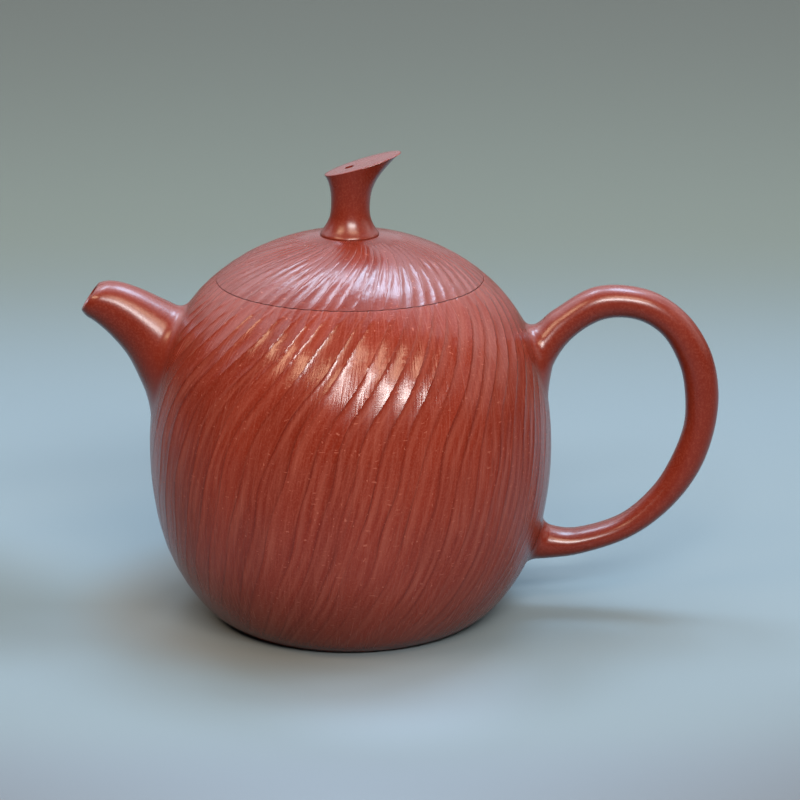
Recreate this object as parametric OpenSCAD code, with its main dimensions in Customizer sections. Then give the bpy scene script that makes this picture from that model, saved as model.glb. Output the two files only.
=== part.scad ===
// Round clay teapot with a flush cut lid, a short tapering spout, a loop handle and a slant-cut knob.
// Millimetres. The origin is the centre of the foot, +Z is up, the spout points to -X, the handle to +X.

/* [Body outline] */
// Radius of the arc over the crown of the lid
crown_r = 46; // [45:0.5:47]
// Angle from straight up where the crown meets the shoulder arc
crown_a = 29; // [28:0.5:30]
// Radius of the shoulder arc
shoulder_r = 36.5; // [36:0.25:37]
// Angle where the shoulder meets the flank
shoulder_a = 76; // [75.5:0.5:76.5]
// Radius of the long arc down the flank
flank_r = 71.5; // [71:0.5:72]
// Angle where the flank meets the belly
flank_a = 102; // [101.5:0.5:102.5]
// Radius of the belly arc
belly_r = 39; // [38.75:0.25:39.25]
// Angle where the belly meets the heel
belly_a = 129; // [128.5:0.5:129.5]
// Radius of the heel arc
heel_r = 17.5; // [17:0.25:18]
// Angle where the heel meets the rounded foot edge
heel_a = 151; // [150:0.5:152]
// Radius of the rounded foot edge
foot_edge_r = 2; // [1.75:0.25:2.25]

/* [Walls] */
// Thickness of the wall and the shoulder
wall_t = 2.8; // [2.6:0.1:3]
// Height of the inside floor above the table
floor_z = 4; // [3.5:0.25:4.5]
// How far the underside of the base is pressed in at its centre
base_press = 1.5; // [1:0.25:2]
// Inner radius of the flat ring that the pot stands on
foot_land_r = 20; // [18:0.5:22]
// Height of the joint between wall and shoulder
shoulder_z = 67.9; // [67.4:0.25:68.4]

/* [Lid and mouth] */
// Height of the flat face that the lid rests on
seam_z = 72.5; // [72.3:0.1:72.7]
// Thickness of the lid slab
lid_t = 3; // [2.8:0.1:3.2]
// Inner radius of the mouth collar
mouth_r = 23.2; // [23:0.1:23.4]
// Outer radius of the mouth collar
collar_r = 25.2; // [25:0.1:25.4]
// Depth of the mouth collar below the seam
collar_depth = 7; // [6.5:0.5:8]
// Radial clearance between the lid flange and the collar
flange_gap = 0.25; // [0.2:0.05:0.3]
// Thickness of the lid flange
flange_t = 2; // [1.8:0.1:2.2]
// Depth of the lid flange below the seam
flange_depth = 6; // [5:0.5:6.5]
// Radius outside which the lid edge is relieved, which shows as a fine dark seam
relief_r = 26.3; // [26:0.1:26.6]
// Height of that relief
relief_gap = 0.25; // [0.2:0.05:0.3]
// Radius of the vent through knob and lid
vent_r = 0.95; // [0.75:0.05:1.1]

/* [Strainer] */
// Outer radius of the strainer dome
dome_r = 9.6; // [9.4:0.1:9.8]
// Thickness of the strainer dome
dome_t = 1.6; // [1.4:0.1:1.8]
// Radius of each strainer hole
strain_hole_r = 1.1; // [0.9:0.05:1.2]
// Radius of the hole through the wall into the spout
spout_hole_r = 7.2; // [7:0.1:7.4]

/* [Spout] */
// Thickness of the spout at its mouth
lip_t = 1.5; // [1.3:0.1:1.7]
// Thickness of the spout at its root
root_t = 1.9; // [1.8:0.1:2]

/* [Hidden] */
$fn = 96;
clay = [0.58, 0.23, 0.17];
lid_clay = [0.66, 0.31, 0.26];
inner_clay = [0.50, 0.19, 0.14];
reach = 60;      // wider than any radius of the body
arc_step = 4;    // longest step along an arc, in degrees
bead = 2.2;      // width of the clay bead that holds the collar under the shoulder

// The outline is a chain of tangent arcs from the top of the lid to the foot.
ARC_R = [crown_r, shoulder_r, flank_r, belly_r, heel_r, foot_edge_r];
ARC_A = [0, crown_a, shoulder_a, flank_a, belly_a, heel_a, 180];
ARCS = len(ARC_R);

// Centre of arc i measured from the top of the crown, then from the origin
function from_top(i) = i == 0 ? [0, -ARC_R[0]]
    : from_top(i - 1) + (ARC_R[i - 1] - ARC_R[i]) * [sin(ARC_A[i]), cos(ARC_A[i])];
crown_z = ARC_R[ARCS - 1] - from_top(ARCS - 1)[1];
function centre(i) = from_top(i) + [0, crown_z];

// The crown is cut flat under the knob.
knob_r = 6.4;
knob_z = crown_z - crown_r + sqrt(crown_r * crown_r - knob_r * knob_r);

// Underside of the base: a shallow dish that meets the table at foot_land_r
dish_r = (foot_land_r * foot_land_r + base_press * base_press) / (2 * base_press);

// Each sweep row is [outer edge x, z, inner edge x, z, half width along Y]. The outer edge is the
// upper or left one. The curve runs through all rows but the first and last, which only steer it.
// The knob's rows are written from its seat upwards.
SPOUT_ROWS = [
    [-54.4, 71.2, -58.3, 67.1, 4.5],
    [-51.2, 71.5, -55.6, 64.9, 4.6],
    [-47.8, 71.3, -52.7, 62.9, 4.9],
    [-43.8, 70.0, -49.6, 60.0, 5.5],
    [-40.0, 68.2, -46.3, 55.8, 6.5],
    [-36.6, 66.5, -43.7, 50.3, 7.7],
    [-33.4, 64.8, -40.9, 43.5, 9.4],
    [-31.5, 63.7, -38.9, 39.4, 9.8]];

HANDLE_ROWS = [
    [32.6, 58.6, 38.8, 40.0, 6.9],
    [36.0, 60.8, 40.6, 46.8, 6.4],
    [39.3, 62.7, 42.5, 54.1, 5.0],
    [42.6, 65.5, 46.6, 59.8, 4.0],
    [51.1, 70.3, 52.8, 63.5, 3.7],
    [61.5, 69.7, 59.5, 63.4, 3.7],
    [69.6, 64.8, 65.0, 60.0, 3.7],
    [74.9, 57.0, 68.6, 53.8, 3.7],
    [77.0, 48.1, 70.0, 47.4, 3.7],
    [76.3, 39.0, 69.9, 40.2, 3.7],
    [73.2, 30.0, 67.2, 32.4, 3.7],
    [67.4, 22.1, 63.2, 25.9, 3.7],
    [59.4, 15.9, 56.8, 20.3, 3.6],
    [49.3, 12.2, 48.1, 17.5, 3.7],
    [41.3, 11.0, 42.5, 18.0, 4.1],
    [34.6, 10.9, 38.8, 20.1, 4.9],
    [28.0, 10.7, 34.0, 23.1, 6.0]];

KNOB_ROWS = [for (row = [
    [-7.4, -0.8, 7.4, -0.8, 7.4],
    [-knob_r, 0, knob_r, 0, knob_r],
    [-5.1, 1.7, 5.1, 1.7, 5.1],
    [-4.1, 3.8, 4.3, 3.8, 4.2],
    [-3.8, 6.4, 4.2, 6.5, 3.9],
    [-3.9, 9.0, 4.8, 9.7, 4.1],
    [-4.4, 11.1, 6.6, 12.9, 4.5],
    [-5.1, 12.5, 10.5, 17.3, 5.2],
    [-5.8, 13.9, 14.8, 21.6, 6.0]]) row + [0, knob_z, 0, knob_z, 0]];

// Middle and tilt of the spout's root, where the wall is pierced and the strainer sits
root_row = SPOUT_ROWS[len(SPOUT_ROWS) - 2];
root_x = (root_row[0] + root_row[2]) / 2;
root_z = (root_row[1] + root_row[3]) / 2;
root_tilt = atan2(root_row[0] - root_row[2], root_row[1] - root_row[3]);

// Catmull-Rom curve through rows 1 to len - 2, with u counted in rows from row 1
function curve(rows, u) =
    let (i = max(0, min(floor(u), len(rows) - 4)), f = u - i,
         a = rows[i], b = rows[i + 1], c = rows[i + 2], d = rows[i + 3])
    (2 * b + (c - a) * f + (2 * a - 5 * b + 4 * c - d) * f * f
        + (3 * b - a - 3 * c + d) * f * f * f) / 2;

// Oval ring of n points that crosses the plane y = 0 at both edges of a row, moved in by t
function ring(row, t, n) =
    let (hi = [row[0], row[1]], lo = [row[2], row[3]], mid = (hi + lo) / 2,
         half = norm(hi - lo) / 2, dir = (hi - mid) / half)
    [for (k = [0 : n - 1]) let (a = 360 * k / n, p = mid + dir * (half - t) * cos(a))
        [p[0], (row[4] - t) * sin(a), p[1]]];

function flat(rings) = [for (r = rings) each r];

// Four-sided faces between each ring and the next; a closed chain also joins the last to the first
function side_faces(rings, n, closed) =
    [for (i = [0 : rings - (closed ? 1 : 2)], k = [0 : n - 1])
        let (j = (i + 1) % rings, m = (k + 1) % n) [i * n + k, i * n + m, j * n + m, j * n + k]];

// Solid sweep with flat ends and a given number of steps between rows
module solid_sweep(rows, steps, n) {
    last = (len(rows) - 3) * steps;
    rings = [for (i = [0 : last]) ring(curve(rows, i / steps), 0, n)];
    caps = [[for (k = [n - 1 : -1 : 0]) k], [for (k = [0 : n - 1]) last * n + k]];
    polyhedron(points = flat(rings), faces = concat(side_faces(last + 1, n, false), caps));
}

// Hollow sweep: along the outer skin from mouth to root, back up the channel and round the lip
module hollow_sweep(rows, steps, n, t_mouth, t_root) {
    last = (len(rows) - 3) * steps;
    outer = [for (i = [0 : last]) ring(curve(rows, i / steps), 0, n)];
    inner = [for (i = [last : -1 : 0])
        ring(curve(rows, i / steps), t_mouth + (t_root - t_mouth) * i / last, n)];
    lip = ring(curve(rows, -0.12), t_mouth / 2, n);
    rings = concat(outer, inner, [lip]);
    polyhedron(points = flat(rings), faces = side_faces(len(rings), n, true));
}

// Points along the outline, moved in by t, over the first arcs
function outline(t, arcs) =
    [for (i = [0 : arcs - 1])
        let (span = ARC_A[i + 1] - ARC_A[i], steps = ceil(span / arc_step))
        for (k = [(i == 0 ? 0 : 1) : steps])
            let (a = ARC_A[i] + span * k / steps) centre(i) + (ARC_R[i] - t) * [sin(a), cos(a)]];

// Half section of the solid body from its axis outwards, moved in by t, over the first arcs
module half_section(t, arcs) {
    points = outline(t, arcs);
    polygon(concat(points, [[0, points[len(points) - 1][1]]]));
}

// Section of a skin of thickness t between two heights and outside radius r
module skin_section(t, lo, hi, r) {
    intersection() {
        difference() {
            half_section(0, ARCS);
            half_section(t, ARCS - 1);
        }
        translate([r, lo]) square([reach, hi - lo]);
    }
}

// Puts +Z along the spout, away from the body, at the middle of the spout's root
module at_spout_root() {
    translate([root_x, 0, root_z]) rotate([0, root_tilt - 90, 0]) children();
}

module body_wall() {
    color(clay) difference() {
        rotate_extrude() skin_section(wall_t, floor_z, shoulder_z, 0);
        at_spout_root() cylinder(r = spout_hole_r, h = 4 * wall_t, center = true);
    }
}

module shoulder_ring() {
    color(clay) rotate_extrude() skin_section(wall_t, shoulder_z, seam_z, collar_r);
}

module base_disc() {
    color(clay) rotate_extrude() difference() {
        intersection() {
            half_section(0, ARCS);
            square([reach, floor_z]);
        }
        intersection() {
            translate([0, base_press - dish_r]) circle(dish_r, $fn = 720);
            square([reach, floor_z]);
        }
    }
}

module mouth_collar() {
    color(inner_clay) rotate_extrude() difference() {
        translate([mouth_r, seam_z - collar_depth])
            square([collar_r + bead - mouth_r, collar_depth]);
        skin_section(wall_t, seam_z - collar_depth, seam_z, collar_r);
    }
}

module spout() {
    color(clay) hollow_sweep(SPOUT_ROWS, 4, 28, lip_t, root_t);
}

module strainer_holes() {
    for (row = [[0, 1], [28, 6], [56, 12]], k = [0 : row[1] - 1])
        rotate([0, 0, 360 * k / row[1]]) rotate([180 - row[0], 0, 0])
            translate([0, 0, dome_r - 2 * dome_t]) cylinder(r = strain_hole_r, h = 3 * dome_t);
}

module spout_strainer() {
    color(inner_clay) intersection() {
        at_spout_root() difference() {
            sphere(dome_r);
            sphere(dome_r - dome_t);
            strainer_holes();
        }
        rotate_extrude() half_section(wall_t, ARCS - 1);
    }
}

module handle() {
    color(clay) solid_sweep(HANDLE_ROWS, 4, 20);
}

module lid_section() {
    difference() {
        skin_section(lid_t, seam_z, knob_z, vent_r);
        translate([relief_r, seam_z]) square([reach, relief_gap]);
    }
}

module lid_disc() {
    color(lid_clay) rotate_extrude() lid_section();
}

module lid_flange() {
    color(inner_clay) rotate_extrude() difference() {
        translate([mouth_r - flange_gap - flange_t, seam_z - flange_depth])
            square([flange_t, flange_depth + lid_t / 2]);
        lid_section();
    }
}

module knob() {
    color(clay) difference() {
        solid_sweep(KNOB_ROWS, 4, 32);
        translate([0, 0, knob_z - 1]) cylinder(r = vent_r, h = crown_z);
    }
}

body_wall();
shoulder_ring();
base_disc();
mouth_collar();
spout();
spout_strainer();
handle();
lid_disc();
lid_flange();
knob();
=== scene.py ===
"""Looks for a round clay teapot with a carved body and lid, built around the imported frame."""

import math

import bpy
import numpy as np
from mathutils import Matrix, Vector


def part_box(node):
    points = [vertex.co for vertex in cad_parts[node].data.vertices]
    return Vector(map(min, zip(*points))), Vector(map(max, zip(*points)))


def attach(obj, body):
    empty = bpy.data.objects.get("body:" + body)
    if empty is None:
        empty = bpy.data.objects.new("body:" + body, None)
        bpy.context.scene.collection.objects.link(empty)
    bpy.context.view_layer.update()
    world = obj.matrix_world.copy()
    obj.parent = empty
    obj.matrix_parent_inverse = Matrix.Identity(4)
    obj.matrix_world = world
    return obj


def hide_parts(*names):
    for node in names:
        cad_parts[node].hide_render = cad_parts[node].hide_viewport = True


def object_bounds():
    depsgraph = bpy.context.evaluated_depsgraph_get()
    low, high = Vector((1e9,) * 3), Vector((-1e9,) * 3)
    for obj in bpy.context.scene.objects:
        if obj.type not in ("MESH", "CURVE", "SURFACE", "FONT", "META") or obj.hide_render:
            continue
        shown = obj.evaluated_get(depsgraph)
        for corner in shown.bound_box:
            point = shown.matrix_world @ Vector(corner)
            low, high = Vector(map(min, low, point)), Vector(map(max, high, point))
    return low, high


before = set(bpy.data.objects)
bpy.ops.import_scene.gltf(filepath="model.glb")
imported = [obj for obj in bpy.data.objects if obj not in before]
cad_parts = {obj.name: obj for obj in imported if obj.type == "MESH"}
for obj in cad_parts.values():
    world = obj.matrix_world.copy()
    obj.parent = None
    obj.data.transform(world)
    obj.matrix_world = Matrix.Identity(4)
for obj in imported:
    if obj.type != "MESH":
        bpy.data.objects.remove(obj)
cad_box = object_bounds()

MM = 0.001
TAU = 2 * math.pi


# ---------------------------------------------------------------- camera

CAMERA_ELEVATION = 16.72    # degrees above the table
CAMERA_DISTANCE = 0.600
CAMERA_LENS = 128.88        # mm, on a sensor 36 mm wide
AIM_OFFSET = Vector((-0.00038, 0, -0.00356))    # the point looked at, from the middle of the object


def make_camera():
    low, high = (Vector(corner) for corner in cad_box)
    aim = (low + high) / 2 + AIM_OFFSET
    elevation = math.radians(CAMERA_ELEVATION)
    away = Vector((0, -math.cos(elevation), math.sin(elevation)))
    data = bpy.data.cameras.new("camera")
    data.lens = CAMERA_LENS
    data.sensor_width = 36
    data.clip_start = 0.01
    camera = bpy.data.objects.new("camera", data)
    camera.location = aim + CAMERA_DISTANCE * away
    camera.rotation_euler = (math.pi / 2 - elevation, 0, 0)
    bpy.context.scene.collection.objects.link(camera)
    bpy.context.scene.camera = camera


# ---------------------------------------------------------------- node materials

def new_material(name):
    material = bpy.data.materials.new(name)
    material.use_nodes = True
    return material, material.node_tree


def add(tree, kind, **settings):
    """A new node with its attributes and its input values set by name."""
    node = tree.nodes.new(kind)
    for key, value in settings.items():
        if key in node.inputs:
            node.inputs[key].default_value = value
        else:
            setattr(node, key, value)
    return node


def vector_source(tree, attribute, scale):
    """Texture coordinates in millimetres: a stored attribute or the object's own, stretched by scale."""
    mapping = add(tree, "ShaderNodeMapping")
    mapping.inputs["Scale"].default_value = scale
    if attribute:
        source = add(tree, "ShaderNodeAttribute", attribute_name=attribute)
        tree.links.new(source.outputs["Vector"], mapping.inputs["Vector"])
    else:
        source = add(tree, "ShaderNodeTexCoord")
        tree.links.new(source.outputs["Object"], mapping.inputs["Vector"])
    return mapping.outputs["Vector"]


def noise(tree, vector, scale=1.0, detail=2.0, roughness=0.5, distortion=0.0):
    node = add(tree, "ShaderNodeTexNoise", Scale=scale, Detail=detail, Roughness=roughness,
               Distortion=distortion)
    tree.links.new(vector, node.inputs["Vector"])
    return node.outputs["Fac"]


def ramp(tree, value, low, high, from_value=0.0, to_value=1.0):
    """Value mapped from low..high to from_value..to_value, clamped and smooth."""
    node = add(tree, "ShaderNodeMapRange", interpolation_type="SMOOTHSTEP")
    node.inputs["From Min"].default_value = low
    node.inputs["From Max"].default_value = high
    node.inputs["To Min"].default_value = from_value
    node.inputs["To Max"].default_value = to_value
    tree.links.new(value, node.inputs["Value"])
    return node.outputs["Result"]


def math_node(tree, operation, a, b):
    node = add(tree, "ShaderNodeMath", operation=operation)
    for socket, value in zip(node.inputs, (a, b)):
        if isinstance(value, (int, float)):
            socket.default_value = value
        else:
            tree.links.new(value, socket)
    return node.outputs["Value"]


def mix_colour(tree, factor, a, b):
    node = add(tree, "ShaderNodeMix", data_type="RGBA")
    factor_in, a_in, b_in = node.inputs["Factor"], node.inputs[6], node.inputs[7]
    for socket, value in ((factor_in, factor), (a_in, a), (b_in, b)):
        if isinstance(value, bpy.types.NodeSocket):
            tree.links.new(value, socket)
        else:
            socket.default_value = value
    return node.outputs[2]


def bump(tree, height, distance, strength, normal=None):
    node = add(tree, "ShaderNodeBump", Distance=distance, Strength=strength)
    tree.links.new(height, node.inputs["Height"])
    if normal is not None:
        tree.links.new(normal, node.inputs["Normal"])
    return node.outputs["Normal"]


CLAY_IOR = 1.39
COAT_ROUGHNESS = 0.22
INSIDE_ROUGHNESS = 0.30    # added where the clay isn't burnished
CLAY_DEEP = (0.052, 0.0046, 0.0018, 1)
CLAY_MAIN = (0.136, 0.0138, 0.0053, 1)
CLAY_PALE = (0.236, 0.065, 0.043, 1)


def clay(name, roughness, coat, depth=0.20, carved=False):
    """Red-brown clay. On carved pieces the marks of the tool follow the stored directions comb and flow."""
    material, tree = new_material(name)
    shader = tree.nodes["Principled BSDF"]
    place = vector_source(tree, None, (1 / MM,) * 3)
    cloud = noise(tree, place, 0.055, 3)
    grain = noise(tree, place, 2.6, 3, 0.65)
    colour = mix_colour(tree, ramp(tree, cloud, 0.25, 0.75, 1 - depth, 1.20 - depth), CLAY_DEEP, CLAY_MAIN)
    colour = mix_colour(tree, ramp(tree, grain, 0.44, 0.68, 0, 0.23), colour, CLAY_PALE)
    normal = bump(tree, grain, 0.000008, 1.0)
    rough = ramp(tree, cloud, 0.3, 0.7, roughness - 0.03, roughness + 0.04)
    if carved:
        calm = add(tree, "ShaderNodeAttribute", attribute_name="calm").outputs["Fac"]
        tone = add(tree, "ShaderNodeAttribute", attribute_name="tone").outputs["Fac"]
        shade = add(tree, "ShaderNodeAttribute", attribute_name="shade").outputs["Fac"]
        cut = math_node(tree, "SUBTRACT", 1.0, calm)
        speck = noise(tree, place, 1.35, 1)
        comb = noise(tree, vector_source(tree, "comb", (2.2, 2.2, 0.12)), 1.0, 2.5, 0.62)
        streak = noise(tree, vector_source(tree, "flow", (1.1, 1.1, 0.045)), 1.0, 3, 0.6)
        chatter = noise(tree, vector_source(tree, "comb", (0.42, 0.42, 4.2)), 1.0, 1.5, 0.5)
        dash = noise(tree, vector_source(tree, "comb", (0.75, 0.75, 3.6)), 1.0, 0.0)
        marks = math_node(tree, "MULTIPLY", cut, comb)
        streaks = math_node(tree, "MULTIPLY", cut, streak)
        colour = mix_colour(tree, ramp(tree, tone, 0, 1, 0, 0.20), colour, CLAY_DEEP)
        colour = mix_colour(tree, ramp(tree, marks, 0.48, 0.72, 0, 0.18), colour, CLAY_PALE)
        colour = mix_colour(tree, ramp(tree, streaks, 0.46, 0.68, 0, 0.20), colour, CLAY_PALE)
        colour = mix_colour(tree, ramp(tree, streaks, 0.30, 0.46, 0.20, 0.0), colour, CLAY_DEEP)
        # painted shade and painted highlight across each carved stroke: darker below the middle value of the
        # stored shade, paler above it
        colour = mix_colour(tree, ramp(tree, shade, 0.0, 0.5, 0.62, 0.0), colour, CLAY_DEEP)
        colour = mix_colour(tree, ramp(tree, shade, 0.5, 1.0, 0.0, 0.38), colour, CLAY_PALE)
        colour = mix_colour(tree, ramp(tree, speck, 0.715, 0.78, 0, 0.85), colour, CLAY_PALE)
        colour = mix_colour(tree, ramp(tree, dash, 0.785, 0.84, 0, 0.75), colour, CLAY_PALE)
        normal = bump(tree, marks, 0.000065, 1.0, normal)
        chatter = math_node(tree, "MULTIPLY", cut, chatter)
        normal = bump(tree, chatter, 0.000009, 1.0, normal)
        rough = math_node(tree, "ADD", rough, ramp(tree, comb, 0.35, 0.7, 0, 0.07))
        inside = add(tree, "ShaderNodeAttribute", attribute_name="inside").outputs["Fac"]
        rough = math_node(tree, "ADD", rough, ramp(tree, inside, 0, 1, 0, INSIDE_ROUGHNESS))
    tree.links.new(colour, shader.inputs["Base Color"])
    tree.links.new(rough, shader.inputs["Roughness"])
    tree.links.new(normal, shader.inputs["Normal"])
    shader.inputs["IOR"].default_value = CLAY_IOR
    shader.inputs["Coat Weight"].default_value = coat
    shader.inputs["Coat Roughness"].default_value = COAT_ROUGHNESS
    return material


# ---------------------------------------------------------------- the pot's outline, read from the CAD

def cad_outline_corners():
    """Corners (radius, height) of the convex outline in mm, from the knob's seat down to the foot."""
    found = []
    for name in ("lid_disc", "shoulder_ring", "body_wall", "base_disc"):
        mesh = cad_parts[name].data
        co = np.empty(len(mesh.vertices) * 3)
        mesh.vertices.foreach_get("co", co)
        co = co.reshape(-1, 3) / MM
        found.append(np.column_stack((np.hypot(co[:, 0], co[:, 1]), co[:, 2])))
    points = np.unique(np.round(np.vstack(found), 4), axis=0)
    points = points[np.lexsort((points[:, 0], -points[:, 1]))]
    chain = []
    for p in points:
        while len(chain) > 1:
            a, b = chain[-2], chain[-1]
            chord = p - a
            rise = ((b - a)[0] * -chord[1] + (b - a)[1] * chord[0]) / max(np.hypot(*chord), 1e-9)
            if rise > 0.001:
                break
            chain.pop()
        chain.append(p)
    chain = np.array(chain)
    start = int(np.argmax(chain[:, 1] + 0.001 * chain[:, 0]))
    return chain[start:]


def natural_spline(knots, values, at):
    """Cubic spline through values at the knots, with no bending at its ends."""
    gap = np.diff(knots)
    count = len(knots)
    system = np.eye(count)
    right = np.zeros((count, values.shape[1]))
    slope = np.diff(values, axis=0) / gap[:, None]
    for i in range(1, count - 1):
        system[i, i - 1:i + 2] = gap[i - 1], 2 * (gap[i - 1] + gap[i]), gap[i]
        right[i] = 6 * (slope[i] - slope[i - 1])
    bend = np.linalg.solve(system, right)
    i = np.clip(np.searchsorted(knots, at) - 1, 0, count - 2)
    f = (at - knots[i])[:, None]
    g = (knots[i + 1] - at)[:, None]
    h = gap[i][:, None]
    return ((bend[i] * g ** 3 + bend[i + 1] * f ** 3) / (6 * h)
            + (values[i] / h - bend[i] * h / 6) * g + (values[i + 1] / h - bend[i + 1] * h / 6) * f)


class Outline:
    """The smooth outline by arc length s in mm, from the knob's seat over the shoulder to the foot."""

    def __init__(self):
        corners = cad_outline_corners()
        corners = corners[corners[:, 1] > -1e-3]
        chord = np.concatenate(([0], np.cumsum(np.hypot(*np.diff(corners, axis=0).T))))
        fine = np.linspace(0, chord[-1], 3000)
        curve = natural_spline(chord, corners, fine)
        length = np.concatenate(([0], np.cumsum(np.hypot(*np.diff(curve, axis=0).T))))
        self.s = length + corners[0, 0]
        self.r, self.z = curve.T
        step = np.gradient(curve, self.s, axis=0)
        step /= np.hypot(*step.T)[:, None]
        self.nr, self.nz = -step[:, 1], step[:, 0]

    def at(self, s):
        """Radius, height and outward normal at arc length s."""
        return tuple(np.interp(s, self.s, v) for v in (self.r, self.z, self.nr, self.nz))

    def s_at_height(self, z):
        return np.interp(-np.asarray(z, float), -self.z, self.s)

    def nearest(self, points):
        """Index of the nearest outline point and the signed distance outwards, for points (n, 3)."""
        radius = np.hypot(points[:, 0], points[:, 1])
        index = np.empty(len(points), int)
        for i in range(0, len(points), 2000):
            part = slice(i, i + 2000)
            gap = (radius[part, None] - self.r) ** 2 + (points[part, 2, None] - self.z) ** 2
            index[part] = gap.argmin(1)
        away = (radius - self.r[index]) * self.nr[index] + (points[:, 2] - self.z[index]) * self.nz[index]
        return index, away

    def normal3(self, points, index):
        radius = np.maximum(np.hypot(points[:, 0], points[:, 1]), 1e-9)
        nr, nz = self.nr[index], self.nz[index]
        return np.column_stack((points[:, 0] / radius * nr, points[:, 1] / radius * nr, nz))

    def drop_on(self, points, lift=0.0):
        """Points moved along the normal onto the outline's surface, and lifted off it by lift."""
        index, away = self.nearest(points)
        return points - (away - lift)[:, None] * self.normal3(points, index)


outline = Outline()
SEAM_GAP = 0.09
SEAM_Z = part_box("shoulder_ring")[1].z / MM
CROWN_R = outline.r[0]
KNOB_SEAT = outline.z[0]
VENT_R = min(math.hypot(v.co.x, v.co.y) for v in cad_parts["lid_disc"].data.vertices) / MM


# ---------------------------------------------------------------- meshes

def make_mesh(name, points_mm, faces, material, body, smooth_angle=None):
    mesh = bpy.data.meshes.new(name)
    mesh.from_pydata((np.asarray(points_mm) * MM).tolist(), [], faces)
    mesh.validate()
    mesh.materials.append(material)
    mesh.shade_smooth()
    if smooth_angle:
        mesh.set_sharp_from_angle(angle=math.radians(smooth_angle))
    piece = bpy.data.objects.new(name, mesh)
    bpy.context.scene.collection.objects.link(piece)
    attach(piece, body)
    return piece


def grid_faces(rows, columns, close_rows=False):
    """Quads between rows of a grid whose columns run round and close."""
    row = np.arange(rows if close_rows else rows - 1)
    j, k = np.meshgrid(row, np.arange(columns), indexing="ij")
    nj, nk = (j + 1) % rows, (k + 1) % columns
    quads = np.stack((j * columns + k, nj * columns + k, nj * columns + nk, j * columns + nk), -1)
    return quads.reshape(-1, 4).tolist()


def store(piece, name, values):
    """Stores one number or one vector for each vertex."""
    values = np.asarray(values, np.float32)
    kind, key = ("FLOAT", "value") if values.ndim == 1 else ("FLOAT_VECTOR", "vector")
    attribute = piece.data.attributes.new(name, kind, "POINT")
    attribute.data.foreach_set(key, values.ravel())


def on_circle(radius, azimuth, height):
    """Points at azimuth 0 facing the front (-Y), growing towards +X."""
    radius, azimuth, height = np.broadcast_arrays(radius, azimuth, height)
    return np.stack((radius * np.sin(azimuth), -radius * np.cos(azimuth), height), -1)


def smoothstep(low, high, x):
    t = np.clip((x - low) / (high - low), 0, 1)
    return t * t * (3 - 2 * t)


# ---------------------------------------------------------------- the carver's strokes

STROKES = 58
# Lean of the ridges from straight down, in degrees, at heights in mm
LEAN = ((81.6, 4), (81.1, 10), (80.4, 18), (79.5, 23), (77.4, 22), (72.6, 24), (67, 30), (61, 35),
        (55, 33), (49, 22), (43, 15), (36, 13), (26, 16), (18, 22), (10, 28), (4, 30), (0, 30))
COMB_LEAN = 7.0          # lean of the fine comb marks
PITCH = TAU / STROKES
# Depth of the cuts in mm and contrast of their shade, at heights in mm
BODY_DEPTH = ((0, 0), (3, 0.02), (9, 0.06), (22, 0.09), (36, 0.10), (46, 0.13), (53, 0.17), (60, 0.20),
              (70, 0.17))
BODY_CONTRAST = ((0, 0.25), (6, 0.6), (20, 0.85), (48, 0.85), (58, 0.45), (70, 0.25))


def by_height(table, z):
    """Value at height z from a table of heights and values."""
    heights, values = np.array(sorted(table)).T
    return np.interp(z, heights, values)


def twist_of(lean_by_height):
    """Azimuth that a line with the given lean has turned by, at each point of the outline."""
    lean = np.radians(by_height(lean_by_height, outline.z))
    rate = np.tan(lean) / outline.r
    turned = np.concatenate(([0], np.cumsum((rate[1:] + rate[:-1]) / 2 * np.diff(outline.s))))
    return -turned


ridge_twist = twist_of(LEAN)
comb_twist = twist_of(((100, COMB_LEAN), (0, COMB_LEAN)))


def waves(random, lines, s, lengths, size):
    """Smooth wandering for each line: a sum of sines along s with random phase, about size high."""
    total = np.zeros((lines, len(s)))
    for length in lengths:
        own = length * random.uniform(0.8, 1.25, (lines, 1))
        phase = random.uniform(0, TAU, (lines, 1))
        total += np.sin(TAU * s / own + phase)
    return total * size / math.sqrt(len(lengths))


def ridge_lines(seed, s, shift):
    """Azimuth of every ridge (rows: ridges, columns: s)."""
    random = np.random.default_rng(seed)
    base = np.arange(STROKES)[:, None] * PITCH + random.uniform(-0.12, 0.12, (STROKES, 1)) * PITCH
    radius, z = outline.at(s)[:2]
    free = 0.35 + 0.65 * smoothstep(73, 61, z)
    wander = waves(random, STROKES, s, (19, 30, 47), 0.10 * PITCH) * free
    teeth = waves(random, STROKES, s, (1.15, 1.9, 2.9), 0.075) / radius
    teeth *= smoothstep(81, 75, z) * (1 - 0.75 * smoothstep(56, 44, z))
    return base + shift * PITCH + np.interp(s, outline.s, ridge_twist) + wander + teeth


def columns_of(ridges, share):
    """Azimuth of each column: every stroke is divided at the given shares of its width."""
    following = np.vstack((ridges[1:], ridges[:1] + TAU))
    share = np.asarray(share)[None, :, None]
    spread = ridges[:, None, :] * (1 - share) + following[:, None, :] * share
    return spread.reshape(-1, ridges.shape[1])


def hollow(v):
    """Section of a hollow-ground stroke: 1 in the middle, 0 at v = -1 and 1."""
    return np.maximum(0, 1 - v * v)


def plane_shade(v):
    """Shade across one stroke: dark at its edges, lightest a third of the way in."""
    return np.interp(v, (0, 0.07, 0.2, 0.36, 0.7, 0.93, 1), (-0.5, 0.0, 0.42, 0.5, 0.02, -0.3, -0.5))


# Shares of a stroke's width at which its columns of points stand
LID_SHARE = (0, .03, .08, .17, .28, .40, .52, .64, .76, .86, .93, .975)
BODY_SHARE = (0, .045, .13, .26, .40, .54, .68, .81, .91, .97)
STROKE_DEPTH = 0.17        # mm, on the lid and just below the seam
MARK_RADIUS = 36.0         # radius at which the textures of the marks have their true width
LID_PITCH_START = 9.0      # radius where the carving of the lid begins


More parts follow.
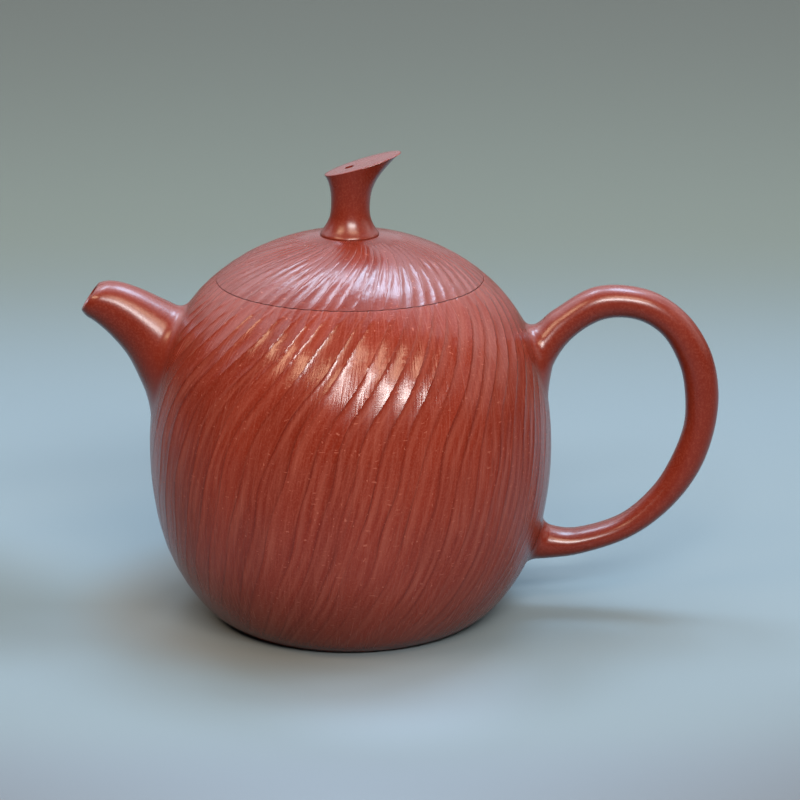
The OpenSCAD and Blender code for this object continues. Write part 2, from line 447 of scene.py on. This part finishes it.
def carve_lid(s):
    """Azimuth, depth, stroke number and shade of each column over the rows s of the lid."""
    random = np.random.default_rng(5)
    ridges = ridge_lines(3, s, 0.0)
    azimuth = columns_of(ridges, LID_SHARE)
    u = np.tile(LID_SHARE, STROKES)[:, None]
    stroke = np.repeat(np.arange(STROKES), len(LID_SHARE))
    radius = outline.at(s)[0][None, :]
    start = random.uniform(-0.8, 1.2, STROKES)[stroke][:, None] + LID_PITCH_START
    line = np.maximum(1 - u / 0.5, (u - 0.925) / 0.075)
    line_depth = 0.075 * np.clip(line, 0, 1) * smoothstep(start, start + 2.2, radius)
    tip = random.uniform(15.0, 20.0, STROKES)[stroke][:, None]
    reach = np.clip((radius - tip) / 5.0, 0, 1)
    width = 0.5 * reach ** 0.7 + 1e-6
    lively = 1 + waves(random, STROKES, s, (6, 11), 0.22)[stroke]
    flute = STROKE_DEPTH * lively * hollow((u - 0.52) / width) * reach ** 0.5
    # painted shade and painted highlight across each lid stroke: darker on one side, lighter on the other
    shade = 0.5 + 0.30 * (u - 0.5) * smoothstep(9, 12, radius)
    return azimuth, np.maximum(line_depth, flute), stroke, shade


def carve_body(s):
    """Azimuth, depth, stroke number and shade of each column over the rows s of the body."""
    random = np.random.default_rng(11)
    ridges = ridge_lines(7, s, 0.5)
    azimuth = columns_of(ridges, BODY_SHARE)
    u = np.tile(BODY_SHARE, STROKES)[:, None]
    stroke = np.repeat(np.arange(STROKES), len(BODY_SHARE))
    z = outline.at(s)[1][None, :]
    below = s[None, :] - s[0]
    tips = random.uniform(2.6, 4.4, STROKES + 1)
    tips[-1] = tips[0]
    upper = 0
    for side, own in ((u, stroke), (1 - u, stroke + 1)):
        reach = tips[own][:, None]
        q = np.clip(below / reach, 0, 1)
        width = 0.5 * (1 - q ** 1.4) + 1e-6
        upper = np.maximum(upper, STROKE_DEPTH * hollow(side / width) * (1 - q) ** 0.35)
    width = np.clip(0.06 + 0.44 * (below / 3.4) ** 0.9, 0, 0.5)
    skewed = u ** 0.72
    lively = 1 + waves(random, STROKES, s, (7, 12, 19), 0.20)[stroke]
    full = by_height(BODY_DEPTH, z)
    single = hollow((skewed - 0.5) / width)
    split = 0.5 + waves(random, STROKES, s, (25, 41), 0.16)[stroke]
    left, right = np.clip(u / split, 0, 1), np.clip((u - split) / (1 - split), 0, 1)
    double = np.where(u < split, 4 * left * (1 - left) * split, 4 * right * (1 - right) * (1 - split)) * 1.3
    own = random.uniform(0.45, 1.0, STROKES)[stroke][:, None]
    twin = own * smoothstep(56, 46, z)
    section = (1 - twin) * single + twin * double
    local = np.where(u < split, left, right)
    contrast = by_height(BODY_CONTRAST, z)
    fading = 0.75 + waves(random, STROKES, s, (17, 29, 41), 0.28)[stroke]
    shade = 0.5 + contrast * np.clip(fading, 0.15, 1.2) * (
        (1 - twin) * plane_shade(u) + twin * plane_shade(local))
    shade = np.clip(shade, 0, 1)
    return azimuth, np.maximum(upper, full * lively * section), stroke, shade


def carve_attributes(piece, azimuth, s, shade, stroke, calm):
    """Directions of comb and strokes, tone and shade of each stroke, calm areas and the plain inside."""
    count = len(piece.data.vertices)
    place = np.empty(count * 3)
    piece.data.vertices.foreach_get("co", place)
    plain_part = place.reshape(-1, 3)[azimuth.size:] / MM
    for name, twist in (("comb", comb_twist), ("flow", ridge_twist)):
        turned = azimuth - np.interp(s, outline.s, twist)[None, :]
        across = MARK_RADIUS * np.cos(turned), MARK_RADIUS * np.sin(turned)
        rows = np.stack(across + (np.broadcast_to(s, turned.shape),), -1)
        store(piece, name, np.vstack((rows.transpose(1, 0, 2).reshape(-1, 3), plain_part)))
    tone = np.tile(np.random.default_rng(23).uniform(0, 1, STROKES)[stroke], len(s))
    rest = np.ones(count - azimuth.size)
    store(piece, "tone", np.concatenate((tone, 0 * rest)))
    store(piece, "shade", np.concatenate((shade.T.ravel(), 0.5 * rest)))
    store(piece, "calm", np.concatenate((calm.T.ravel(), rest)))
    store(piece, "inside", np.concatenate((0 * tone, rest)))


# ---------------------------------------------------------------- limbs: spout and handle

# Each row is [outer edge x, z, inner edge x, z, half width along Y] in mm, as in the CAD sweep.
SPOUT_ROWS = (
    (-54.4, 71.2, -58.3, 67.1, 4.5), (-51.2, 71.5, -55.6, 64.9, 4.6), (-47.8, 71.3, -52.7, 62.9, 4.9),
    (-43.8, 70.0, -49.6, 60.0, 5.5), (-40.0, 68.2, -46.3, 55.8, 6.5), (-36.6, 66.5, -43.7, 50.3, 7.7),
    (-33.4, 64.8, -40.9, 43.5, 9.4), (-31.5, 63.7, -38.9, 39.4, 9.8))
HANDLE_ROWS = (
    (32.6, 58.6, 38.8, 40.0, 6.9), (36.0, 60.8, 40.6, 46.8, 6.4), (39.3, 62.7, 42.5, 54.1, 5.0),
    (42.6, 65.5, 46.6, 59.8, 4.0), (51.1, 70.3, 52.8, 63.5, 3.7), (61.5, 69.7, 59.5, 63.4, 3.7),
    (69.6, 64.8, 65.0, 60.0, 3.7), (74.9, 57.0, 68.6, 53.8, 3.7), (77.0, 48.1, 70.0, 47.4, 3.7),
    (76.3, 39.0, 69.9, 40.2, 3.7), (73.2, 30.0, 67.2, 32.4, 3.7), (67.4, 22.1, 63.2, 25.9, 3.7),
    (59.4, 15.9, 56.8, 20.3, 3.6), (49.3, 12.2, 48.1, 17.5, 3.7), (41.3, 11.0, 42.5, 18.0, 4.1),
    (34.6, 10.9, 38.8, 20.1, 4.9), (28.0, 10.7, 34.0, 23.1, 6.0))
# Heights of the knob's rows are counted from its seat.
KNOB_ROWS = [(x, z + KNOB_SEAT, x2, z2 + KNOB_SEAT, w) for x, z, x2, z2, w in (
    (-7.4, -0.8, 7.4, -0.8, 7.4), (-6.4, 0, 6.4, 0, 6.4), (-5.1, 1.7, 5.1, 1.7, 5.1),
    (-4.1, 3.8, 4.3, 3.8, 4.2), (-3.8, 6.4, 4.2, 6.5, 3.9), (-3.9, 9.0, 4.8, 9.7, 4.1),
    (-4.4, 11.1, 6.6, 12.9, 4.5), (-5.1, 12.5, 10.5, 17.3, 5.2), (-5.8, 13.9, 14.8, 21.6, 6.0))]
LIMB_SIDES = 72
FILLET_RISE = 2.3        # height above the body where the fillet of a limb begins
FILLET_RUN = 2.6         # how far it runs out over the body
LIP_T, ROOT_T = 1.5, 1.9    # thickness of the spout at its mouth and at its root
LIP_EASE = 0.32          # how far the edge of the spout's mouth is eased
KNOB_RIM = 0.22          # rounding of the knob's top edge
KNOB_BEAD = 0.7          # height of the bead at its base
BEAD_INSET = 0.42


def catmull(rows, u):
    """Catmull-Rom curve through all rows but the first and last, with u counted from row 1."""
    rows = np.asarray(rows, float)
    i = np.clip(np.floor(u).astype(int), 0, len(rows) - 4)
    f = (u - i)[:, None]
    a, b, c, d = rows[i], rows[i + 1], rows[i + 2], rows[i + 3]
    return (2 * b + (c - a) * f + (2 * a - 5 * b + 4 * c - d) * f ** 2
            + (3 * b - a - 3 * c + d) * f ** 3) / 2


def oval_rings(row_values, inset, sides):
    """Oval rings (n, sides, 3), moved in by inset."""
    hi, lo = row_values[:, 0:2], row_values[:, 2:4]
    middle = (hi + lo) / 2
    half = np.hypot(*(hi - lo).T) / 2
    along = (hi - middle) / half[:, None]
    angle = np.arange(sides) * TAU / sides
    inset = np.broadcast_to(inset, half.shape)
    flat = middle[:, None, :] + along[:, None, :] * ((half - inset)[:, None] * np.cos(angle))[..., None]
    side = (row_values[:, 4] - inset)[:, None] * np.sin(angle)
    return np.stack((flat[..., 0], side, flat[..., 1]), -1)


def crossing(away, level):
    """For each generator, the fractional index where its distance from the body first falls to level."""
    spots = np.empty(away.shape[1])
    for k in range(away.shape[1]):
        i = int(np.argmax(away[:, k] < level))
        i = max(i, 1)
        a, b = away[i - 1, k], away[i, k]
        spots[k] = i - 1 + (a - level) / (a - b)
    return spots


def sample(rings, index):
    """Point of each generator at a fractional index."""
    i = np.clip(np.floor(index).astype(int), 0, len(rings) - 2)
    f = (index - i)[..., None]
    k = np.broadcast_to(np.arange(rings.shape[1]), i.shape)
    return rings[i, k] * (1 - f) + rings[i + 1, k] * f


def fillet_to_body(rings, steps):
    """Ends a limb in a fillet on the body: rings from its free part to a skirt sunk in the body."""
    count, sides = rings.shape[:2]
    away = outline.nearest(rings.reshape(-1, 3))[1].reshape(count, sides)
    top = crossing(away, FILLET_RISE)
    root = crossing(away, 0.0)
    free = [sample(rings, top * j / (steps - 1)) for j in range(steps)]
    start, foot = sample(rings, top), sample(rings, root)
    heading = foot - start
    heading /= np.linalg.norm(heading, axis=1)[:, None]
    index = outline.nearest(foot)[0]
    normal = outline.normal3(foot, index)
    round_loop = np.roll(foot, -1, 0) - np.roll(foot, 1, 0)
    outward = np.cross(round_loop, normal)
    outward /= np.linalg.norm(outward, axis=1)[:, None]
    if np.mean(np.sum(outward * (foot - foot.mean(0)), 1)) < 0:
        outward = -outward
    end = outline.drop_on(foot + FILLET_RUN * outward, 0.015)
    pull = FILLET_RISE + FILLET_RUN
    skirt = []
    for t in np.linspace(0, 1, 13)[1:]:
        a, b = 2 * t ** 3 - 3 * t ** 2 + 1, -2 * t ** 3 + 3 * t ** 2
        c, d = t ** 3 - 2 * t ** 2 + t, t ** 3 - t ** 2
        skirt.append(a * start + b * end + pull * (c * heading + d * outward))
    hidden = outline.drop_on(foot + (FILLET_RUN + 0.9) * outward, -0.22)
    deep = outline.drop_on(foot - 0.3 * outward, -1.5)
    return np.array(free + skirt + [hidden, deep]), end


def limb_calm(points, loops):
    """1 near a limb and inside its root, 0 from 3.6 mm outside it."""
    calm = np.zeros(len(points))
    for loop in loops:
        centre = loop.mean(0)
        near = np.flatnonzero(np.linalg.norm(points - centre, axis=1) < 26)
        gap = np.linalg.norm(points[near, None, :] - loop[None], axis=2)
        closest = gap.argmin(1)
        distance = gap.min(1)
        inside = (np.linalg.norm(points[near] - centre, axis=1)
                  < np.linalg.norm(loop[closest] - centre, axis=1))
        distance = np.where(inside, -distance, distance)
        calm[near] = np.maximum(calm[near], 1 - smoothstep(0.4, 3.4, distance))
    return calm


def capped(rings):
    """Points and faces of a closed sweep whose two ends are filled."""
    rows, sides = rings.shape[:2]
    faces = grid_faces(rows, sides)
    faces.append(list(range(sides))[::-1])
    faces.append([(rows - 1) * sides + k for k in range(sides)])
    return rings.reshape(-1, 3), faces


def facing_out(piece):
    """Turns all faces so that they look outwards."""
    bpy.context.view_layer.objects.active = piece
    bpy.ops.object.select_all(action="DESELECT")
    piece.select_set(True)
    bpy.ops.object.mode_set(mode="EDIT")
    bpy.ops.mesh.select_all(action="SELECT")
    bpy.ops.mesh.normals_make_consistent(inside=False)
    bpy.ops.object.mode_set(mode="OBJECT")


def make_spout(material):
    """A hollow spout: fillet on the body, outer skin, rounded lip and channel."""
    last = len(SPOUT_ROWS) - 3
    u = np.linspace(0, last + 0.35, 90)
    eased = LIP_EASE * np.clip(1 - u / 0.45, 0, 1) ** 2
    outer = oval_rings(catmull(SPOUT_ROWS, u), eased, LIMB_SIDES)
    body_side, loop = fillet_to_body(outer, 60)
    lip = []
    for angle in np.linspace(0, math.pi, 9)[1:-1]:
        inset = eased[0] + (LIP_T - eased[0]) / 2 * (1 - math.cos(angle))
        u_lip = np.array([-0.16 * math.sin(angle)])
        lip.append(oval_rings(catmull(SPOUT_ROWS, u_lip), inset, LIMB_SIDES)[0])
    u_in = np.linspace(0, last - 0.25, 40)
    inner = oval_rings(catmull(SPOUT_ROWS, u_in), LIP_T + (ROOT_T - LIP_T) * u_in / last, LIMB_SIDES)
    rings = np.concatenate((body_side[::-1], np.array(lip), inner))
    faces = grid_faces(len(rings), LIMB_SIDES, close_rows=True)
    piece = make_mesh("spout_skin", rings.reshape(-1, 3), faces, material, "pot")
    facing_out(piece)
    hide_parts("spout")
    return piece, loop


def make_handle(material):
    """A loop handle with a fillet on the body at each end."""
    last = len(HANDLE_ROWS) - 3
    half = last / 2
    upper = oval_rings(catmull(HANDLE_ROWS, np.linspace(half, -0.35, 160)), 0, LIMB_SIDES)
    lower = oval_rings(catmull(HANDLE_ROWS, np.linspace(half, last + 0.35, 160)), 0, LIMB_SIDES)
    upper_end, upper_loop = fillet_to_body(upper, 110)
    lower_end, lower_loop = fillet_to_body(lower, 110)
    rings = np.concatenate((upper_end[::-1], lower_end[1:]))
    points, faces = capped(rings)
    piece = make_mesh("handle_loop", points, faces, material, "pot")
    facing_out(piece)
    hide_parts("handle")
    return piece, (upper_loop, lower_loop)


def make_knob(material):
    """A waisted knob with a slanted oval top, a rounded rim and a vent down its axis."""
    sides = 96
    last = len(KNOB_ROWS) - 3
    base, waist = np.linspace(0, 0.5, 24), np.linspace(0.5, last - 0.12, 76)[1:]
    rows = catmull(KNOB_ROWS, np.concatenate((base, waist, [last - 0.06, last - 0.035])))
    rise = np.clip((rows[:, 1] - KNOB_SEAT) / KNOB_BEAD, 0, 1)
    side = oval_rings(rows, BEAD_INSET * (1 - np.sqrt(1 - (1 - rise) ** 2)), sides)
    top = oval_rings(catmull(KNOB_ROWS, np.array([float(last)])), 0, sides)[0]
    middle = top.mean(0)
    slant = np.cross(top[0] - middle, top[sides // 4] - middle)
    slant /= np.linalg.norm(slant) * np.sign(slant[2])
    inward = middle - top
    inward /= np.linalg.norm(inward, axis=1)[:, None]
    rings = list(side)
    for angle in np.radians((0, 22, 45, 68, 90)):
        rings.append(top + KNOB_RIM * ((1 - math.cos(angle)) * inward - (1 - math.sin(angle)) * slant))
    edge = rings[-1]
    angle = np.arange(sides) * TAU / sides
    hole_x, hole_y = -VENT_R * np.cos(angle), VENT_R * np.sin(angle)
    plane_z = middle[2] - (slant[0] * (hole_x - middle[0]) + slant[1] * hole_y) / slant[2]
    mouth = np.column_stack((hole_x, hole_y, plane_z))
    for share in (0.3, 0.6, 0.94, 1.0):
        rings.append(edge + (mouth - edge) * share)
    rings.append(np.column_stack((hole_x, hole_y, plane_z - 0.35)))
    rings.append(np.column_stack((hole_x, hole_y, np.full(sides, KNOB_SEAT))))
    rings = np.array(rings)
    faces = grid_faces(len(rings), sides, close_rows=True)
    piece = make_mesh("knob_turned", rings.reshape(-1, 3), faces, material, "lid", 50)
    facing_out(piece)
    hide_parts("knob")
    return piece


# ---------------------------------------------------------------- body, lid and base

WALL = 2.8               # mm
RIM_R = 26.6             # outside of the rim that the lid rests on
SPOUT_HOLE_R = 7.2
BASE_TOP = 4.0           # height of the floor inside the pot
BASE_PRESS = 1.5         # how far the base is pressed in
BASE_LAND = 20.0         # inside of the flat ring that the pot stands on
LID_T = 3.0
LID_ARC = 46.0           # radius of the arc under the lid


def lathe_rows(profile, azimuth_row):
    """Rows of points for the plain part of a turned piece, on the same columns as azimuth_row."""
    return np.array([on_circle(r, azimuth_row, z) for r, z in profile])


def row_spacing(s_start, s_end, zones):
    """Row positions from s_start to s_end; zones give (height above which, step)."""
    rows = [s_start]
    while rows[-1] < s_end - 0.2:
        z = float(outline.at(rows[-1])[1])
        step = next(step for height, step in zones if z >= height)
        rows.append(rows[-1] + step)
    rows[-1] = s_end
    return np.array(rows)


def make_body(material, loops):
    """The carved wall with the ledge for the lid, left plain inside and near the roots of the limbs."""
    s_top = float(outline.s_at_height(SEAM_Z))
    rows = row_spacing(s_top, outline.s[-1], ((63, 0.36), (50, 0.55), (30, 0.9), (3, 1.15), (-1, 0.6)))
    azimuth, depth, stroke, shade = carve_body(rows)
    r, z, nr, nz = (v[None, :] for v in outline.at(rows))
    surface = on_circle(r, azimuth, z).transpose(1, 0, 2).reshape(-1, 3)
    calm = limb_calm(surface, loops).reshape(len(rows), -1).T
    depth = depth * (1 - calm)
    shade = 0.5 + (shade - 0.5) * (1 - calm)
    outer = on_circle(r - depth * nr, azimuth, z - depth * nz).transpose(1, 0, 2)
    inner_s = np.linspace(outline.s_at_height(3.6), outline.s_at_height(SEAM_Z - 2.0), 22)
    ir, iz, inr, inz = outline.at(inner_s)
    inner = list(zip(ir - WALL * inr, iz - WALL * inz))
    foot = outline.r[-1]
    edge = float(r[0, 0])
    profile = [(foot - 0.8, 0.0), (foot - 1.4, 0.0), (foot - 1.5, BASE_TOP - 0.1)] + inner
    profile += [(RIM_R - 0.5, SEAM_Z - 2.5), (RIM_R - 0.5, SEAM_Z - 0.5), (RIM_R, SEAM_Z - 0.5),
                (edge - 0.32, SEAM_Z - 0.3)]
    plain = lathe_rows(profile, azimuth[:, -1])
    plain[-4:] = lathe_rows(profile[-4:], azimuth[:, 0])
    points = np.concatenate((outer, plain))
    faces = grid_faces(len(points), points.shape[1], close_rows=True)
    piece = make_mesh("body_carved", points.reshape(-1, 3), faces, material, "pot", 30)
    carve_attributes(piece, azimuth, rows, shade, stroke, calm)
    pierce(piece)
    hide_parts("body_wall", "shoulder_ring")
    return piece


def pierce(piece):
    """Opens the wall where the spout meets it."""
    row = SPOUT_ROWS[-2]
    middle = Vector(((row[0] + row[2]) / 2, 0, (row[1] + row[3]) / 2)) * MM
    along = Vector((row[0] - row[2], 0, row[1] - row[3])).normalized()
    axis = Vector((-along.z, 0, along.x))
    reach = 8.0 * MM
    sides = 96
    side = Vector((0, 1, 0))
    points = []
    for end in (-reach, reach):
        for k in range(sides):
            angle = k * TAU / sides
            points.append(middle + end * axis
                          + SPOUT_HOLE_R * MM * (math.cos(angle) * along + math.sin(angle) * side))
    faces = [(k, (k + 1) % sides, sides + (k + 1) % sides, sides + k) for k in range(sides)]
    faces += [tuple(range(sides))[::-1], tuple(range(sides, 2 * sides))]
    mesh = bpy.data.meshes.new("cutter")
    mesh.from_pydata(points, [], faces)
    cutter = bpy.data.objects.new("cutter", mesh)
    bpy.context.scene.collection.objects.link(cutter)
    facing_out(cutter)
    cut = piece.modifiers.new("spout_hole", "BOOLEAN")
    cut.operation = "DIFFERENCE"
    cut.object = cutter
    cut.solver = "EXACT"
    bpy.context.view_layer.objects.active = piece
    bpy.ops.object.modifier_apply(modifier=cut.name)
    bpy.data.objects.remove(cutter)
    bpy.data.meshes.remove(mesh)


def make_rim(material):
    """The rim of the mouth, its edges eased."""
    inner_r = min(math.hypot(v.co.x, v.co.y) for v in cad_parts["mouth_collar"].data.vertices) / MM
    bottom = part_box("mouth_collar")[0].z / MM
    profile = [(inner_r + 0.3, bottom), (inner_r, bottom + 0.3), (inner_r, SEAM_Z - 0.45)]
    for angle in np.radians((15, 40, 65, 90)):
        profile.append((inner_r + 0.4 * (1 - math.cos(angle)), SEAM_Z - 0.45 + 0.4 * math.sin(angle)))
    profile += [(RIM_R - 0.15, SEAM_Z - 0.05), (RIM_R, SEAM_Z - 0.2), (RIM_R, SEAM_Z - 1.5), (RIM_R, bottom)]
    sides = 360
    points = lathe_rows(profile, np.arange(sides) * TAU / sides)
    faces = grid_faces(len(points), sides, close_rows=True)
    piece = make_mesh("mouth_rim", points.reshape(-1, 3), faces, material, "pot", 40)
    facing_out(piece)
    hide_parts("mouth_collar")
    return piece


def make_lid(material):
    """The carved lid, arched and plain underneath, with the vent through its middle."""
    s_edge = float(outline.s_at_height(SEAM_Z + SEAM_GAP))
    rows = np.concatenate((np.linspace(CROWN_R, 9, 8)[:-1], np.linspace(9, s_edge, 82)))
    azimuth, depth, stroke, shade = carve_lid(rows)
    r, z, nr, nz = (v[None, :] for v in outline.at(rows))
    outer = on_circle(r - depth * nr, azimuth, z - depth * nz).transpose(1, 0, 2)
    edge_z = float(z[0, -1])
    seat_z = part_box("lid_disc")[0].z / MM
    inside = []
    for radius in np.linspace(22.0, VENT_R, 9):
        drop = LID_ARC - math.sqrt(LID_ARC ** 2 - radius ** 2)
        inside.append((radius, KNOB_SEAT + 0.4 - LID_T - drop))
    profile = [(26.5, edge_z + 0.1), (26.3, seat_z), (22.6, seat_z + 0.1)]
    profile += inside + [(VENT_R, KNOB_SEAT), (3.5, KNOB_SEAT)]
    plain = lathe_rows(profile, azimuth[:, -1])
    plain[-10:] = lathe_rows(profile[-10:], azimuth[:, 0])
    points = np.concatenate((outer, plain))
    faces = grid_faces(len(points), points.shape[1], close_rows=True)
    piece = make_mesh("lid_carved", points.reshape(-1, 3), faces, material, "lid", 30)
    calm = 1 - 0.4 * smoothstep(9.5, 14, np.broadcast_to(r, depth.shape))
    carve_attributes(piece, azimuth, rows, shade, stroke, calm)
    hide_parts("lid_disc")
    return piece


def make_base(material):
    """The pressed base inside the foot ring."""
    edge = outline.r[-1] - 1.45
    sides = 180
    angle = np.arange(sides) * TAU / sides
    under = [(r, BASE_PRESS * (1 - (r / BASE_LAND) ** 2)) for r in np.linspace(1.0, BASE_LAND, 24)]
    profile = under + [(BASE_LAND + 0.5, 0.0), (edge, 0.0), (edge, BASE_TOP - 0.1),
                       (edge - 0.4, BASE_TOP), (1.0, BASE_TOP)]
    points = lathe_rows(profile, angle)
    flat, faces = capped(points)
    piece = make_mesh("base_pressed", flat, faces, material, "pot", 40)
    facing_out(piece)
    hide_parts("base_disc")
    return piece


# ---------------------------------------------------------------- stage and lights

FLOOR_FRONT = (0.113, 0.141, 0.163, 1)
FLOOR_NEAR = (0.121, 0.156, 0.170, 1)
FLOOR_FAR = (0.095, 0.105, 0.086, 1)
BACKDROP = (0.062, 0.063, 0.052, 1)
BACKDROP_HIGH = (0.40, 0.41, 0.41, 1)
# painted shadow on the floor to the left of the pot, as cast by light from the right
FLOOR_PAINTED_SIDE_SHADOW = (0.062, 0.068, 0.057, 1)
# painted shadow on the floor round the foot of the pot
FLOOR_PAINTED_SHADOW = (0.100, 0.088, 0.068, 1)
# painted shade: the floor darker further from the pot, as if less light reached it
FLOOR_PAINTED_FALLOFF = (0.070, 0.074, 0.078, 1)
# painted light on the floor just in front of the pot
FLOOR_PAINTED_LIGHT = (0.165, 0.212, 0.252, 1)
SWEEP_START = 0.26       # where the paper begins to bend up, in metres behind the middle of the pot
SWEEP_BEND = 0.60        # radius of that bend
SWEEP_WIDTH = 3.0        # to each side
WORLD_COLOUR = (0.62, 0.72, 0.80, 1)
WORLD_STRENGTH = 0.08
# Each row is name, azimuth, elevation, distance in metres, size, watts, colour.
LIGHTS = (
    ("overhead", 0, 93, 0.95, (1.7, 0.45), 5.4, (0.80, 0.89, 1.0)),
    ("back_top", 180, 57, 0.95, (1.3, 0.70), 6.4, (0.74, 0.86, 1.0)),
    ("back_left", -122, 40, 0.95, (0.70, 0.60), 2.7, (0.90, 0.92, 1.0)),
    ("back_right", 122, 40, 0.95, (0.80, 0.70), 2.5, (0.92, 0.93, 1.0)),
    ("lid_right", 146, 68, 0.90, (0.32, 0.26), 6.4, (0.52, 0.75, 1.0)),
    ("lid_left", -146, 66, 0.90, (0.28, 0.20), 4.0, (0.60, 0.79, 1.0)),
    ("window_white", 12, 34, 0.85, (0.52, 0.10), 10.3, (1.0, 0.97, 0.95)),
    ("window_warm", 20, 50, 0.85, (0.50, 0.14), 3.5, (1.0, 0.70, 0.48)),
    ("window_left", -50, 45, 0.85, (0.36, 0.14), 3.2, (1.0, 0.70, 0.46)),
    ("side_right", 90, 24, 0.90, (0.80, 0.50), 1.5, (1.0, 0.93, 0.87)))
LIGHTS_AIM = Vector((0, 0, 0.05))


def around(tree, place, centre, inner, outer, share):
    """The share within the inner distance of a point on the floor, falling to 0 at the outer distance."""
    flat = add(tree, "ShaderNodeVectorMath", operation="MULTIPLY")
    flat.inputs[1].default_value = (1, 1, 0)
    offset = add(tree, "ShaderNodeVectorMath", operation="SUBTRACT")
    offset.inputs[1].default_value = (centre[0], centre[1], 0)
    distance = add(tree, "ShaderNodeVectorMath", operation="LENGTH")
    tree.links.new(place, flat.inputs[0])
    tree.links.new(flat.outputs["Vector"], offset.inputs[0])
    tree.links.new(offset.outputs["Vector"], distance.inputs[0])
    return ramp(tree, distance.outputs["Value"], inner, outer, share, 0.0)


def make_stage():
    """A pale paper sweep, its tones laid out as around the real pot: darker far back and lighter high up,
    with painted shadows round and left of the pot, a painted patch of light in front of it and painted shade
    away from it.
    """
    material, tree = new_material("paper_backdrop")
    shader = tree.nodes["Principled BSDF"]
    shader.inputs["Roughness"].default_value = 0.75
    shader.inputs["Specular IOR Level"].default_value = 0.2
    place = add(tree, "ShaderNodeTexCoord")
    split = add(tree, "ShaderNodeSeparateXYZ")
    tree.links.new(place.outputs["Object"], split.inputs[0])
    sideways = math_node(tree, "MULTIPLY", math_node(tree, "ABSOLUTE", split.outputs["X"], 0.0), 0.8)
    nearness = math_node(tree, "SUBTRACT", sideways, split.outputs["Y"])
    colour = mix_colour(tree, ramp(tree, split.outputs["Y"], -0.095, -0.060), FLOOR_FRONT, FLOOR_NEAR)
    colour = mix_colour(tree, ramp(tree, split.outputs["Y"], 0.12, 0.34), colour, FLOOR_FAR)
    colour = mix_colour(tree, ramp(tree, split.outputs["Y"], 0.30, 0.56), colour, BACKDROP)
    colour = mix_colour(tree, ramp(tree, split.outputs["Z"], 0.08, 0.24), colour, BACKDROP_HIGH)
    off_row = math_node(tree, "MULTIPLY", math_node(tree, "ABSOLUTE", split.outputs["Y"], 0.0), -1.2)
    leftness = math_node(tree, "SUBTRACT", off_row, split.outputs["X"])
    # painted shadow: the floor darkened to the left of the pot, as cast by light from the right
    colour = mix_colour(tree, ramp(tree, leftness, 0.015, 0.075, 0, 0.6), colour, FLOOR_PAINTED_SIDE_SHADOW)
    # painted shade: the floor darkens with distance in front of and beside the pot
    colour = mix_colour(tree, ramp(tree, nearness, 0.09, 0.21), colour, FLOOR_PAINTED_FALLOFF)
    # painted light: a bright patch on the floor just in front of the pot, lifting its shadow there
    painted_light = around(tree, place.outputs["Object"], (0.010, -0.047), 0.008, 0.036, 0.65)
    colour = mix_colour(tree, painted_light, colour, FLOOR_PAINTED_LIGHT)
    # painted shadow: a dark patch on the floor round the pot's foot, a little to its left
    painted_shadow = around(tree, place.outputs["Object"], (-0.014, 0.004), 0.030, 0.052, 0.55)
    colour = mix_colour(tree, painted_shadow, colour, FLOOR_PAINTED_SHADOW)
    tree.links.new(colour, shader.inputs["Base Color"])
    profile = [(-3.0, 0.0), (-1.0, 0.0), (0.0, 0.0), (SWEEP_START, 0.0)]
    for angle in np.radians(np.arange(3, 91, 3)):
        profile.append((SWEEP_START + SWEEP_BEND * math.sin(angle), SWEEP_BEND * (1 - math.cos(angle))))
    profile.append((SWEEP_START + SWEEP_BEND, 1.6))
    points = [(x, y, z) for y, z in profile for x in (-SWEEP_WIDTH, SWEEP_WIDTH)]
    faces = [(2 * i, 2 * i + 1, 2 * i + 3, 2 * i + 2) for i in range(len(profile) - 1)]
    mesh = bpy.data.meshes.new("backdrop")
    mesh.from_pydata(points, [], faces)
    mesh.materials.append(material)
    mesh.shade_smooth()
    stage = bpy.data.objects.new("backdrop", mesh)
    bpy.context.scene.collection.objects.link(stage)


def area_light(name, azimuth, elevation, distance, size, power, colour):
    """A softbox seen from the pot at an azimuth (0 at the front, growing to the right) and elevation."""
    data = bpy.data.lights.new(name, "AREA")
    data.shape = "RECTANGLE"
    data.size, data.size_y = size
    data.energy = power
    data.color = colour
    lamp = bpy.data.objects.new(name, data)
    a, e = math.radians(azimuth), math.radians(elevation)
    away = Vector((math.sin(a) * math.cos(e), -math.cos(a) * math.cos(e), math.sin(e)))
    lamp.location = LIGHTS_AIM + distance * away
    lamp.rotation_euler = away.to_track_quat("Z", "Y").to_euler()
    bpy.context.scene.collection.objects.link(lamp)


def make_lights():
    world = bpy.data.worlds.new("studio")
    bpy.context.scene.world = world
    world.use_nodes = True
    background = world.node_tree.nodes["Background"]
    background.inputs["Color"].default_value = WORLD_COLOUR
    background.inputs["Strength"].default_value = WORLD_STRENGTH
    for row in LIGHTS:
        area_light(*row)


# ---------------------------------------------------------------- build

bpy.context.scene.view_settings.view_transform = "Standard"
make_camera()
make_stage()
make_lights()

carved = clay("clay_carved", 0.195, 0.0, carved=True)
burnished = clay("clay_burnished", 0.27, 0.08, depth=0.50)
plain = clay("clay_plain", 0.45, 0.0)

spout, spout_loop = make_spout(burnished)
handle, handle_loops = make_handle(burnished)
knob = make_knob(burnished)
body = make_body(carved, (spout_loop,) + handle_loops)
lid = make_lid(carved)
base = make_base(plain)
rim = make_rim(plain)
for name in ("spout_strainer", "lid_flange"):
    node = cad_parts[name]
    node.data.materials.clear()
    node.data.materials.append(plain)
